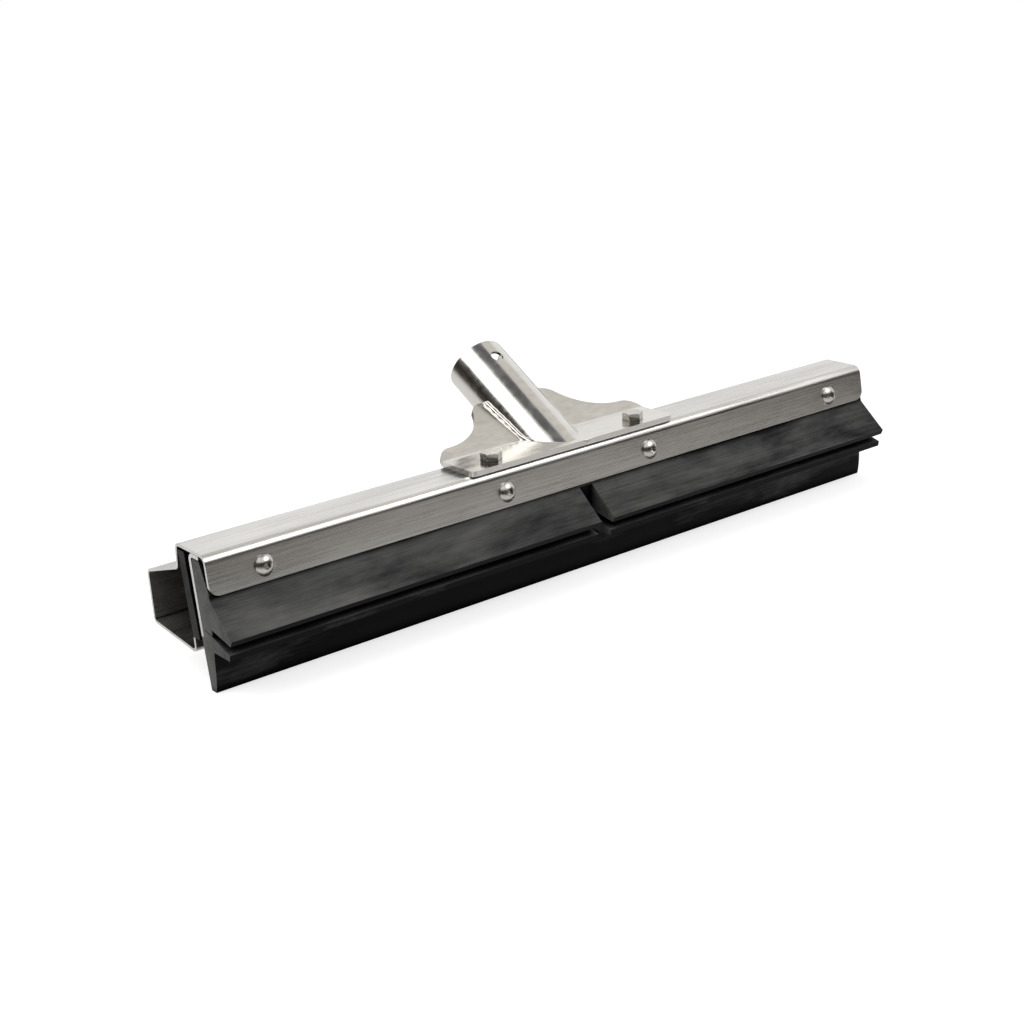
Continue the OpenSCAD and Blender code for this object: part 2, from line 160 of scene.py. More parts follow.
# %% Steel finish
def stainless_steel(name, dull, bright, roughness, stroke_mm, length_mm,
                    stroke_bump=0.0, anisotropy=0.0, wave=0.0):
    material, tree = new_material(name)
    place = add_node(tree, "TexCoord").outputs["Object"]
    stroke_place = add_node(tree, "Mapping", Vector=place,
                            Scale=(1000 / length_mm, 1000 / stroke_mm, 1000 / stroke_mm))
    strokes = add_node(tree, "TexNoise", Vector=stroke_place.outputs[0], Scale=1.0, Detail=3.0,
                       Roughness=0.6).outputs[0]
    cloud_place = add_node(tree, "Mapping", Vector=place, Scale=CLOUDS_PER_M)
    clouds = add_node(tree, "TexNoise", Vector=cloud_place.outputs[0], Scale=1.0, Detail=4.0,
                      Roughness=0.55).outputs[0]
    tone_level = add_node(tree, "Math", MULTIPLY_ADD, _0=clouds, _1=CLOUD_SHARE, _2=strokes).outputs[0]
    rough = add_node(tree, "ValToRGB", Fac=tone_level, stops=(
        (0.35, grey(roughness - 0.07)), (1.0, grey(roughness + 0.1)))).outputs[0]
    tint = add_node(tree, "ValToRGB", Fac=tone_level, stops=(
        (0.4, linear(dull)), (1.0, linear(bright)))).outputs[0]
    # Painted shade: the tint is darkened where other metal is close, in joints, gaps and under
    # heads.
    joint = add_node(tree, "AmbientOcclusion", AO_SAMPLES, Distance=JOINT_REACH).outputs["AO"]
    painted_joint_shade = add_node(tree, "ValToRGB", Fac=joint, stops=(
        (0.3, grey(0.05)), (0.7, grey(1.0)))).outputs[0]
    tint = add_node(tree, "VectorMath", MULTIPLY, _0=tint, _1=painted_joint_shade).outputs[0]
    swell = add_node(tree, "TexNoise", Vector=place, Scale=WAVES_PER_M, Detail=1.0).outputs[0]
    waves = add_node(tree, "Bump", Strength=wave, Distance=WAVE_HEIGHT, Height=swell).outputs[0]
    relief = add_node(tree, "Bump", Strength=stroke_bump, Distance=STROKE_DEPTH, Height=strokes,
                      Normal=waves).outputs[0]
    shader = add_node(tree, "BsdfPrincipled", Base_Color=tint, Metallic=1.0, Roughness=rough,
                      Anisotropic=anisotropy, Normal=relief)
    add_node(tree, "OutputMaterial", Surface=shader.outputs[0])
    return material


# %% [markdown]
# ## Three steel finishes
# The head is folded from sheet that was brushed along its length, and the strokes are drawn
# 0.55 mm wide, coarser than real ones, so that they show. The bracket and the tube show no
# grain and are taken to be tumbled after pressing. The screws, bolts and nuts are turned or
# cold formed.

# %% Steel finishes
# Satin grain: highlights are drawn out across the strokes, and the sheet looks streaked.
sheet_steel = stainless_steel("brushed_stainless_sheet", "#acaaa7", "#e8e6e2", 0.25,
                              stroke_mm=0.55, length_mm=70, stroke_bump=0.12, anisotropy=0.4)
# Softly bright without a grain: the room shows in it, bent by the pressing's waves.
bracket_steel = stainless_steel("tumbled_stainless_pressing", "#cecbc5", "#dedbd6", 0.16,
                                stroke_mm=4.0, length_mm=9, wave=1.0)
# Small and even: each head gives a clear, slightly soft highlight.
bright_steel = stainless_steel("turned_stainless_fastener", "#b4b1ab", "#cdcac5", 0.2,
                               stroke_mm=1.5, length_mm=3)
print("steel finishes:", sheet_steel.name, bracket_steel.name, bright_steel.name)

# %% [markdown]
# ## Black rubber
# The wiper and the rear strip are black rubber. Making them as long strips leaves fine lines
# along the length, and handling leaves pale, smeared marks. Faces that look up are painted
# paler than faces that look down, as painted light. The cut ends are painted paler too, partly
# because cut rubber is paler and partly as painted light from the side. Deep hollows get
# painted shade that makes them nearly black, because little light gets in and less comes back,
# and there their gloss is painted down as well. Rubber is no mirror: its gloss is broad and weak.

# %% Rubber measures
HOLLOW_REACH = 9 * MM
LINES_PER_M_ALONG = 9
SMEARS_PER_M = (11, 38, 38)
SMEAR_TURN = (0, 0, 0.2)
LINE_SHARE = 0.2
# Painted light: how much paler a face that looks up is painted.
PAINTED_LIGHT_ON_UP_FACES = 0.28
# The cut ends are painted paler, partly for the paler cut rubber and partly as painted light.
CUT_END_PALER_AND_LIT = 0.3
LINE_BUMP = 0.06
LINE_DEPTH = 0.1 * MM
print("hollows darken within", round(HOLLOW_REACH / MM), "mm")

# %% [markdown]
# ## The rubber's finish as a material
# One number, the tone level, adds up smears, fine lines and painted light: faces that look up
# and the cut ends are painted paler. It picks a tone between bare rubber and smeared, lit
# rubber, and painted shade in the joints and the hollows then darkens it. Drawn marks would
# need a picture, and a noise gives them at any size.


# %% Rubber finish
def black_rubber(name, bare, smeared_and_lit, roughness, line_mm):
    material, tree = new_material(name)
    texture_place = add_node(tree, "TexCoord").outputs
    line_place = add_node(tree, "Mapping", Vector=texture_place["Object"],
                          Scale=(LINES_PER_M_ALONG, 1000 / line_mm, 1000 / line_mm))
    lines = add_node(tree, "TexNoise", Vector=line_place.outputs[0], Scale=1.0, Detail=3.0,
                     Roughness=0.6).outputs[0]
    smear_place = add_node(tree, "Mapping", Vector=texture_place["Object"],
                           Rotation=SMEAR_TURN, Scale=SMEARS_PER_M)
    smears = add_node(tree, "TexNoise", Vector=smear_place.outputs[0], Scale=1.0, Detail=6.0,
                      Roughness=0.62, Distortion=0.25).outputs[0]
    facing = add_node(tree, "SeparateXYZ", _0=texture_place["Normal"]).outputs
    cut_end = add_node(tree, "Math", {"operation": "ABSOLUTE"}, _0=facing[0]).outputs[0]
    tone_level = add_node(tree, "Math", MULTIPLY_ADD, _0=lines, _1=LINE_SHARE, _2=smears).outputs[0]
    # Painted light: faces that look up are pushed towards the paler tone.
    tone_level = add_node(tree, "Math", MULTIPLY_ADD,
                    _0=facing[2], _1=PAINTED_LIGHT_ON_UP_FACES, _2=tone_level).outputs[0]
    # The cut ends are pushed paler, partly for the paler cut and partly as painted light.
    tone_level = add_node(tree, "Math", MULTIPLY_ADD,
                    _0=cut_end, _1=CUT_END_PALER_AND_LIT, _2=tone_level).outputs[0]
    tint = add_node(tree, "ValToRGB", Fac=tone_level, stops=(
        (0.62, linear(bare)), (1.0, linear(smeared_and_lit)))).outputs[0]
    # Painted shade: the tint is darkened in joints and in deep hollows.
    joint = add_node(tree, "AmbientOcclusion", AO_SAMPLES, Distance=JOINT_REACH).outputs["AO"]
    joint_shade = add_node(tree, "ValToRGB", Fac=joint, stops=(
        (0.4, grey(0.0)), (0.75, grey(1.0)))).outputs[0]
    hollow = add_node(tree, "AmbientOcclusion", AO_SAMPLES, Distance=HOLLOW_REACH).outputs["AO"]
    hollow_shade = add_node(tree, "ValToRGB", Fac=hollow, stops=(
        (0.35, grey(0.0)), (0.72, grey(1.0)))).outputs[0]
    tint = add_node(tree, "VectorMath", MULTIPLY, _0=tint, _1=joint_shade).outputs[0]
    tint = add_node(tree, "VectorMath", MULTIPLY, _0=tint, _1=hollow_shade).outputs[0]
    # Painted shade: the gloss is turned down in deep hollows, where little reflected light comes
    # out.
    hollow_shaded_gloss = add_node(tree, "ValToRGB", Fac=hollow, stops=(
        (0.4, grey(0.0)), (0.85, grey(0.1)))).outputs[0]
    rough = add_node(tree, "ValToRGB", Fac=smears, stops=(
        (0.3, grey(roughness)), (0.7, grey(roughness + 0.14)))).outputs[0]
    relief = add_node(tree, "Bump", Strength=LINE_BUMP, Distance=LINE_DEPTH, Height=lines)
    shader = add_node(tree, "BsdfPrincipled", Base_Color=tint, Roughness=rough,
                      Specular_IOR_Level=hollow_shaded_gloss, Normal=relief.outputs[0])
    add_node(tree, "OutputMaterial", Surface=shader.outputs[0])
    return material


# %% [markdown]
# ## Two rubbers
# The wiper shows its handling most, and the rear strip is plainer and duller. The fine lines
# are drawn 0.9 and 1.6 mm wide, coarser than real ones, so that they show.

# %% Rubber finishes
# Deep black with grey smears; painted light makes faces that look up paler, and the cut ends are
# paler from the cut and from painted light.
wiper_rubber = black_rubber("extruded_black_rubber", "#080808", "#6a6968", 0.5, line_mm=0.9)
# Even charcoal with hardly a highlight.
strip_rubber = black_rubber("moulded_black_rubber", "#161616", "#454444", 0.62, line_mm=1.6)
print("rubber finishes:", wiper_rubber.name, strip_rubber.name)

# %% [markdown]
# ## A clean copy of a solid
# A solid from the model comes as loose triangles. A copy of its mesh is joined up, and its
# flat faces are cleared of spare lines, so that only real edges are left to be rounded. The
# solid itself is left alone, because the copy takes its place.

# %% Clean copy
SAME_POINT = 0.002 * MM
TOUCHING = 0.001 * MM
FLAT_ANGLE = math.radians(0.6)


def deselect():
    if bpy.context.object and bpy.context.object.mode != "OBJECT":
        bpy.ops.object.mode_set(mode="OBJECT")
    bpy.ops.object.select_all(action="DESELECT")


def select_only(piece):
    deselect()
    piece.select_set(True)
    bpy.context.view_layer.objects.active = piece


def clean_copy(node, name):
    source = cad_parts[node]
    piece = source.copy()
    piece.data = source.data.copy()
    piece.name = piece.data.name = name
    bpy.context.collection.objects.link(piece)
    select_only(piece)
    if piece.data.has_custom_normals:
        bpy.ops.mesh.customdata_custom_splitnormals_clear()
    bpy.ops.object.mode_set(mode="EDIT")
    bpy.ops.mesh.select_all(action="SELECT")
    bpy.ops.mesh.remove_doubles(threshold=SAME_POINT)
    bpy.ops.mesh.dissolve_limited(angle_limit=FLAT_ANGLE)
    bpy.ops.object.mode_set(mode="OBJECT")
    print(name, "faces before rounding:", len(piece.data.polygons))
    return piece


# %% [markdown]
# ## Softened edges
# Each sharp edge gets the small rounding that a deburred sheet or a cut rubber has, because
# only a rounded edge catches the light. Smoothing by angle turns the narrow flats of a bend
# into one curve and keeps real edges crisp, and weighted normals keep large faces flat beside
# a rounding. The finished piece then takes the place of its solid.

# %% Softened edges
EDGE_SEGMENTS = 2
SHARP_ANGLE = math.radians(35)
BEND_ANGLE = math.radians(32)
FLAT_FACE_WEIGHT = 90


def soften_edges(piece, edge_mm):
    bevel = piece.modifiers.new("edges", "BEVEL")
    bevel.width = edge_mm * MM
    bevel.segments = EDGE_SEGMENTS
    bevel.angle_limit = SHARP_ANGLE
    bevel.use_clamp_overlap = True
    bpy.ops.object.modifier_apply(modifier="edges")
    bpy.ops.object.shade_smooth_by_angle(angle=BEND_ANGLE)
    flats = piece.modifiers.new("flats", "WEIGHTED_NORMAL")
    flats.keep_sharp = True
    flats.weight = FLAT_FACE_WEIGHT
    bpy.ops.object.modifier_apply(modifier="flats")


def finished(node, name, material, edge_mm):
    piece = clean_copy(node, name)
    soften_edges(piece, edge_mm)
    piece.data.materials.clear()
    piece.data.materials.append(material)
    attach(piece, "root")
    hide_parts(node)
    print(name, "faces:", len(piece.data.polygons))


# %% [markdown]
# ## Sheet parts
# The head frame and the clamp plate are cut, deburred and folded, so their edges are only
# slightly rounded. The bracket's two sheets are stamped and tumbled, and softer. The tube is
# cut square, and the edges of its mouth are only just broken.

# %% Frame, clamp plate, bracket and tube
finished("head_frame", "folded_head", sheet_steel, edge_mm=0.4)
finished("clamp_plate", "hooked_clamp", sheet_steel, edge_mm=0.3)
finished("bracket_lower_sheet", "bracket_under", bracket_steel, edge_mm=0.45)
finished("bracket_upper_sheet", "bracket_over", bracket_steel, edge_mm=0.45)
finished("socket_tube", "handle_tube", bracket_steel, edge_mm=0.2)

# %% [markdown]
# ## Rubber parts
# Cut ends and lips of rubber are crisp, but never as sharp as metal.

# %% Wiper and rear strip
finished("wiper_blade", "wiper", wiper_rubber, edge_mm=0.2)
finished("rear_strip", "trough_strip", strip_rubber, edge_mm=0.3)

# %% [markdown]
# ## The tube's weld
# The weld is one bead from wing to wing around the tube's front. At the left it stands proud
# as a narrow ridge, at the front it is small and scalloped, and at the right it is dressed
# to a wide hollow. Its section is that of a ball rolled along the seam between tube and
# sheet, and the ball's size changes along the way. A torus would be simpler, but the seam is
# no circle: the tube leans, and the sheet bends up into its wings.

# %% Weld measures
SOCKET_LEAN = math.radians(31)
WING_SLOPE = math.radians(25)
TUBE_R = 16.85 * MM
SHEET_TOP = 70.5 * MM
WING_START = 22.1 * MM
WING_END = 51.5 * MM
BEND_SOFTNESS = 1.2 * MM
TUBE_START = Vector((0, 29.4, 67.5)) * MM
along = Vector((0, math.cos(SOCKET_LEAN), math.sin(SOCKET_LEAN)))
above = Vector((0, -math.sin(SOCKET_LEAN), math.cos(SOCKET_LEAN)))
wing_up = Vector((0, -math.sin(WING_SLOPE), math.cos(WING_SLOPE)))
print("tube radius:", round(TUBE_R / MM, 2), "mm, sheet top:", round(SHEET_TOP / MM, 1), "mm")

# %% [markdown]
# ## Where a ball touches tube and sheet
# The sheet is a level base and a sloped wing, and near the bend the two planes are blended.
# The first function gives a point's height over that surface and which way the surface looks.
# The second lays a ball against the tube, so many metres along it and at an angle around it.
# What is left is one number to bring to nothing: how far that ball is off the sheet.

# %% Tube and sheet
BLEND_LIMIT = 30


def over_sheet(point):
    base = point.z - SHEET_TOP
    wing = (point - Vector((0, WING_START, SHEET_TOP))).dot(wing_up)
    blend = max(-BLEND_LIMIT, min(BLEND_LIMIT, (wing - base) / BEND_SOFTNESS))
    share = 1 / (1 + math.exp(blend))
    return base + (wing - base) * share, Vector((0, 0, 1)).lerp(wing_up, share).normalized()


def ball_centre(reach, around, ball_r):
    out = above * math.cos(around) + Vector((math.sin(around), 0, 0))
    return TUBE_START + along * reach + out * (TUBE_R + ball_r), out


def seam_error(reach, around, ball_r):
    return over_sheet(ball_centre(reach, around, ball_r)[0])[0] - ball_r


print("the tube's start is", round(over_sheet(TUBE_START)[0] / MM, 2), "mm over the sheet")

# %% [markdown]
# ## The bead's size along its way
# Both halves of the bead start at the front with the same small ball. To the right the ball
# grows to a wide, dressed hollow. To the left it grows a little and pulses, which gives the
# scallops that a welder's steps leave.

# %% Ball sizes
FRONT_BALL_MM = 1.6
RIGHT_GAIN_MM = 5.4
RIGHT_GAIN_START = 4 * MM
LEFT_GAIN_MM = 0.8
SCALLOP_MM = 0.15
SCALLOP_STEP = 0.9 * MM
GAIN_LENGTH = 20 * MM


def weld_ball(side, walked):
    if side > 0:
        share = max(0.0, min(1.0, (walked - RIGHT_GAIN_START) / GAIN_LENGTH))
        return (FRONT_BALL_MM + RIGHT_GAIN_MM * share) * MM
    scallop = SCALLOP_MM * math.sin(walked / SCALLOP_STEP)
    return (FRONT_BALL_MM + scallop + LEFT_GAIN_MM * min(1.0, walked / GAIN_LENGTH)) * MM


grown_at = RIGHT_GAIN_START + GAIN_LENGTH
print("grown ball:", round(weld_ball(-1, grown_at) / MM, 2), "mm at the left,",
      round(weld_ball(1, grown_at) / MM, 2), "mm at the right")

# %% [markdown]
# ## Walking the seam
# The bead is walked along in small steps. Each step goes along the seam and then back, by the
# slope of the error, until the ball touches both tube and sheet. The walk ends at the wing's
# end, or where no ball fits.

# %% Walking the seam
WELD_STEP = 0.6 * MM
LONGEST_WALK = 200 * MM
WALK_START = -30 * MM
START_TURN = 0.02
APPROACH_STEP = 0.1 * MM
CORRECTIONS = 6
REACH_PROBE = 0.01 * MM
TURN_PROBE = 0.001
SEAM_TOLERANCE = 0.01 * MM


def settled(reach, around, ball_r):
    for _ in range(CORRECTIONS):
        error = seam_error(reach, around, ball_r)
        reach_slope = (seam_error(reach + REACH_PROBE, around, ball_r) - error) / REACH_PROBE
        turn_slope = ((seam_error(reach, around + TURN_PROBE, ball_r) - error)
                      / (TURN_PROBE * TUBE_R))
        steep = reach_slope ** 2 + turn_slope ** 2
        reach -= error * reach_slope / steep
        around -= error * turn_slope / steep / TUBE_R
    return reach, around, Vector((-turn_slope, reach_slope)).normalized()


def walk_seam(side):
    reach, around, walked = WALK_START, side * START_TURN, 0.0
    heading = Vector((0, side))
    stops = []
    while seam_error(reach, around, weld_ball(side, 0)) < 0:
        reach += APPROACH_STEP
    while walked < LONGEST_WALK:
        ball_r = weld_ball(side, walked)
        reach, around, direction = settled(reach, around, ball_r)
        centre, out = ball_centre(reach, around, ball_r)
        if centre.y > WING_END or abs(seam_error(reach, around, ball_r)) > SEAM_TOLERANCE:
            break
        stops.append((centre, out, over_sheet(centre)[1], ball_r, walked))
        step = direction * WELD_STEP
        if step.dot(heading) < 0:
            step = -step
        heading = step.normalized()
        reach += step.x
        around += step.y / TUBE_R
        walked += WELD_STEP
    print("side", side, "steps:", len(stops))
    return stops


# %% [markdown]
# ## The bead's section
# At each stop the section runs from the ball's touch on the tube to its touch on the sheet.
# A dressed bead follows the ball, which leaves a hollow. A proud bead goes straight across and
# swells outwards. Both feet bite a little into the metal, and the last point lies inside the
# joint, so that the bead is a closed solid with no gap under it.

# %% Weld section
SECTION_POINTS = 9
FOOT_BITE = 0.05 * MM
RIDGE_MM = 1.1
CORE_REACH = 0.75
RIDGE_START = 20 * MM
RIDGE_GROWTH = 6 * MM


def weld_section(centre, out, sheet_up, ball_r, proud):
    foot_tube = -out * (ball_r + FOOT_BITE)
    foot_sheet = -sheet_up * (ball_r + FOOT_BITE)
    inwards = (foot_tube + foot_sheet).normalized()
    points = []
    for number in range(SECTION_POINTS):
        part = number / (SECTION_POINTS - 1)
        hollow = foot_tube.normalized().slerp(foot_sheet.normalized(), part) * foot_tube.length
        swelling = math.sin(math.pi * part) * RIDGE_MM * MM
        ridge = foot_tube.lerp(foot_sheet, part) - inwards * swelling
        points.append(centre + hollow.lerp(ridge, proud))
    points.append(centre + (foot_tube + foot_sheet) * CORE_REACH)
    return points


def half_bead(side):
    sections = []
    for centre, out, sheet_up, ball_r, walked in walk_seam(side):
        proud = 0.0 if side > 0 else max(0.0, min(1.0, (walked - RIDGE_START) / RIDGE_GROWTH))
        sections.append(weld_section(centre, out, sheet_up, ball_r, proud))
    return sections


sections = list(reversed(half_bead(-1))) + half_bead(1)
print("weld sections:", len(sections), "from", [round(v / MM, 1) for v in sections[0][0]],
      "to", [round(v / MM, 1) for v in sections[-1][0]])

# %% [markdown]
# ## Laying the bead
# A grid is the bead's cloth: each of its columns is one section of the bead, and the rows
# close around the section. The two ends are filled, and the faces are turned outwards.

# %% Weld bead
WELD_SMOOTH_ANGLE = math.radians(40)
columns = len(sections)
deselect()
bpy.ops.mesh.primitive_grid_add(x_subdivisions=columns - 1, y_subdivisions=SECTION_POINTS + 1,
                                size=1)
weld = bpy.context.object
weld.name = weld.data.name = "socket_bead"
for vertex in weld.data.vertices:
    row, column = divmod(vertex.index, columns)
    vertex.co = sections[column][row % (SECTION_POINTS + 1)]
bpy.ops.object.mode_set(mode="EDIT")
bpy.ops.mesh.select_all(action="SELECT")
bpy.ops.mesh.remove_doubles(threshold=TOUCHING)
bpy.ops.mesh.select_all(action="DESELECT")
bpy.ops.mesh.select_non_manifold()
bpy.ops.mesh.edge_face_add()
bpy.ops.mesh.select_all(action="SELECT")
bpy.ops.mesh.normals_make_consistent(inside=False)
bpy.ops.object.mode_set(mode="OBJECT")
bpy.ops.object.shade_smooth_by_angle(angle=WELD_SMOOTH_ANGLE)
print("bead faces:", len(weld.data.polygons))

# %% [markdown]
# ## Three tacks
# Three small tacks show at the base's front edge. Each is a ball sunk into the edge, because
# a tack is a drop of weld that froze there. They are joined to the bead.

# %% Tacks
FRONT_EDGE = -2.0 * MM
TACK_DROP = 0.5 * MM
TACKS_MM = ((6.2, 0.9), (7.6, 1.1), (9.3, 0.8))
tacks = []
for across, radius in TACKS_MM:
    bpy.ops.mesh.primitive_uv_sphere_add(segments=20, ring_count=12, radius=radius * MM,
                                         location=(across * MM, FRONT_EDGE, SHEET_TOP - TACK_DROP))
    bpy.ops.object.shade_smooth()
    tacks.append(bpy.context.object)
deselect()
for welded in tacks + [weld]:
    welded.select_set(True)
bpy.context.view_layer.objects.active = weld
bpy.ops.object.join()
weld.data.materials.append(bracket_steel)
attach(weld, "root")
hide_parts("socket_weld")
print("weld with tacks, faces:", len(weld.data.polygons))

# %% [markdown]
# ## Button screws
# Each flange screw has a domed head with a small hexagon socket, and it leans with the flange.
# The solids say where the screws are: the tip's middle gives the axis, and the nearest and
# farthest points along the axis give the length.

# %% Screw measures
FLANGE_LEAN = math.radians(8.5)
HEAD_R = 5.25 * MM
HEAD_H = 3.3 * MM
RIM_H = 0.9 * MM
SHANK_R = 3 * MM
SOCKET_FLATS = 3.4 * MM
SOCKET_DEPTH = 1.5 * MM
SOCKET_CORNER_R = SOCKET_FLATS / math.sqrt(3)
inward = Vector((0, math.cos(FLANGE_LEAN), -math.sin(FLANGE_LEAN)))


def screw_span(node):
    corners = [node.matrix_world @ vertex.co for vertex in node.data.vertices]
    near, far = min(c.dot(inward) for c in corners), max(c.dot(inward) for c in corners)
    tip = [corner for corner in corners if corner.dot(inward) > far - TOUCHING]
    low = Vector(min(corner[i] for corner in tip) for i in range(3))
    high = Vector(max(corner[i] for corner in tip) for i in range(3))
    return (low + high) / 2, near, far


near, far = screw_span(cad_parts["flange_screw_1"])[1:]
print("screw length:", round((far - near) / MM, 2), "mm")

# %% [markdown]
# ## The screw's head
# One screw is shaped from a cylinder: its end is widened into the head's flat underside, drawn
# up into the rim, and then drawn in and raised step by step to a dome. The dome is part of a
# ball and ends in a small flat, just wider than the socket.

# %% Domed head
DOME_STEPS = 9
TOP_FLAT = 1.05
LOOKS_UP = 0.9
dome_h = HEAD_H - RIM_H
dome_r = (HEAD_R ** 2 + dome_h ** 2) / (2 * dome_h)


def grow(rise, factor):
    bpy.ops.mesh.extrude_region_move(TRANSFORM_OT_translate={"value": (0, 0, rise)})
    bpy.ops.transform.resize(value=(factor, factor, 1), center_override=(0, 0, 0))


def domed_blank(length):
    deselect()
    bpy.ops.mesh.primitive_cylinder_add(vertices=48, radius=SHANK_R, depth=length - HEAD_H,
                                        location=(0, 0, -(length - HEAD_H) / 2))
    screw = bpy.context.object
    bpy.ops.object.transform_apply(location=True, rotation=False, scale=False)
    bpy.ops.object.mode_set(mode="EDIT")
    bpy.ops.mesh.select_mode(type="FACE")
    bpy.ops.mesh.select_all(action="DESELECT")
    bpy.ops.object.mode_set(mode="OBJECT")
    for face in screw.data.polygons:
        face.select = face.center.z > -TOUCHING and face.normal.z > LOOKS_UP
    bpy.ops.object.mode_set(mode="EDIT")
    grow(0, HEAD_R / SHANK_R)
    grow(RIM_H, 1.0)
    rim_angle = math.asin(HEAD_R / dome_r)
    top_angle = math.asin(TOP_FLAT * SOCKET_CORNER_R / dome_r)
    before_r, before_z = HEAD_R, dome_r * math.cos(rim_angle)
    for step in range(1, DOME_STEPS + 1):
        angle = rim_angle + (top_angle - rim_angle) * step / DOME_STEPS
        now_r, now_z = dome_r * math.sin(angle), dome_r * math.cos(angle)
        grow(now_z - before_z, now_r / before_r)
        before_r, before_z = now_r, now_z
    bpy.ops.object.mode_set(mode="OBJECT")
    return screw


pattern = domed_blank(far - near)
print("head height:", round(max(v.co.z for v in pattern.data.vertices) / MM, 2), "mm")

# %% [markdown]
# ## The screw's socket
# The hexagon socket is punched, so a six-sided cylinder is cut out of the dome. Pushing the
# dome's faces in would leave them bent around the socket.

# %% Hexagon socket
SCREW_SMOOTH_ANGLE = math.radians(35)
top = max(vertex.co.z for vertex in pattern.data.vertices)
deselect()
bpy.ops.mesh.primitive_cylinder_add(vertices=6, radius=SOCKET_CORNER_R,
                                    depth=2 * SOCKET_DEPTH, location=(0, 0, top))
cutter = bpy.context.object
select_only(pattern)
cut = pattern.modifiers.new("socket", "BOOLEAN")
cut.operation = "DIFFERENCE"
cut.object = cutter
cut.solver = "EXACT"
bpy.ops.object.modifier_apply(modifier="socket")
bpy.data.objects.remove(cutter)
bpy.ops.object.shade_smooth_by_angle(angle=SCREW_SMOOTH_ANGLE)
pattern.data.materials.clear()
pattern.data.materials.append(bright_steel)
print("screw faces:", len(pattern.data.polygons))

# %% [markdown]
# ## Placing the screws
# Three copies go to the first three places, and the pattern itself to the last. Each is turned
# to the flange's lean, and its place is then put into its mesh.

# %% Four screws
for number in (1, 2, 3, 4):
    middle, near, far = screw_span(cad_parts[f"flange_screw_{number}"])
    place = middle + inward * (near + HEAD_H - middle.dot(inward))
    screw = pattern if number == 4 else pattern.copy()
    if number < 4:
        screw.data = pattern.data.copy()
        bpy.context.collection.objects.link(screw)
    screw.name = screw.data.name = f"button_screw_{number}"
    select_only(screw)
    screw.rotation_euler = (math.radians(90) - FLANGE_LEAN, 0, 0)
    screw.location = place
    bpy.ops.object.transform_apply(location=True, rotation=True, scale=False)
    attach(screw, "root")
    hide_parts(f"flange_screw_{number}")
    print(screw.name, "at", [round(value, 4) for value in place])

# %% [markdown]
# ## Bolts and nuts
# The bolt heads and the nuts are small and bright. The bolts' corners are crisp, and the nuts'
# are a little rounder.

# %% Bolts and nuts
for number in (1, 2, 3, 4):
    finished(f"clamp_nut_{number}", f"thin_nut_{number}", bright_steel,
             edge_mm=0.3)
for side in ("left", "right"):
    finished(f"bracket_bolt_{side}", f"hexagon_bolt_{side}", bright_steel,
             edge_mm=0.12)
    finished(f"bracket_nut_{side}", f"hexagon_nut_{side}", bright_steel,
             edge_mm=0.3)

# %% [markdown]
# ## Floor
# The head stands on a white sweep. The floor's own diffuse white takes the shadow, and to the
# camera and in reflections it also glows a little, so that it reads as plain white paper
# without more light on the head.

# %% Floor
FLOOR_SIZE = 30
UNDER_THE_FOOT = 0.2 * MM
GLOW_SEEN = 0.66
GLOW_MIRRORED = 0.3
bpy.ops.mesh.primitive_plane_add(size=FLOOR_SIZE, location=(0, 0, -UNDER_THE_FOOT))
floor = bpy.context.object
floor.name = "floor"
# Matt paper: an even white with no highlight, which only the head's shadow breaks.
paper, tree = new_material("white_sweep_paper")
rays = add_node(tree, "LightPath")
mirrored = add_node(tree, "Math", MULTIPLY, _0=rays.outputs["Is Glossy Ray"], _1=GLOW_MIRRORED)
glow = add_node(tree, "Math", MULTIPLY_ADD, _0=rays.outputs["Is Camera Ray"], _1=GLOW_SEEN,
                _2=mirrored.outputs[0])
matt = add_node(tree, "BsdfDiffuse", Color=linear("#cdcdcd"))
light = add_node(tree, "Emission", Color=linear("#ffffff"), Strength=glow.outputs[0])
total = add_node(tree, "AddShader", _0=matt.outputs[0], _1=light.outputs[0])
add_node(tree, "OutputMaterial", Surface=total.outputs[0])
floor.data.materials.append(paper)
print("floor:", FLOOR_SIZE, "m")

# %% [markdown]
# ## The white room
# To the camera, and in the metal's reflections, the room is plain white. As a light on the
# head it is weaker, because the soft boxes add their share.

# %% World
ROOM_LIGHT = 0.62
ROOM_SEEN = 1.0
CLAMPED_ADD = {"operation": "ADD", "use_clamp": True}
world = bpy.data.worlds.new("white_room")
bpy.context.scene.world = world
world.use_nodes = True
tree = world.node_tree
tree.nodes.clear()
rays = add_node(tree, "LightPath")
seen = add_node(tree, "Math", CLAMPED_ADD, _0=rays.outputs["Is Camera Ray"],
                _1=rays.outputs["Is Transmission Ray"])
seen = add_node(tree, "Math", CLAMPED_ADD, _0=seen.outputs[0], _1=rays.outputs["Is Glossy Ray"])
room = add_node(tree, "Background", Color=linear("#f4f4f4"), Strength=ROOM_LIGHT)
white = add_node(tree, "Background", Color=linear("#ffffff"), Strength=ROOM_SEEN)
pick = add_node(tree, "MixShader", _0=seen.outputs[0], _1=room.outputs[0], _2=white.outputs[0])
add_node(tree, "OutputWorld", Surface=pick.outputs[0])
bpy.context.scene.view_settings.view_transform = "Standard"
print("room light:", ROOM_LIGHT)

# %% [markdown]
# ## Soft boxes
# Bright metal shows its surroundings, so the room decides how it looks. Worked back from the
# tube's bands, a large soft box stood low at the left behind the head. A second one at the
# right front gives the bright line along the front bend.


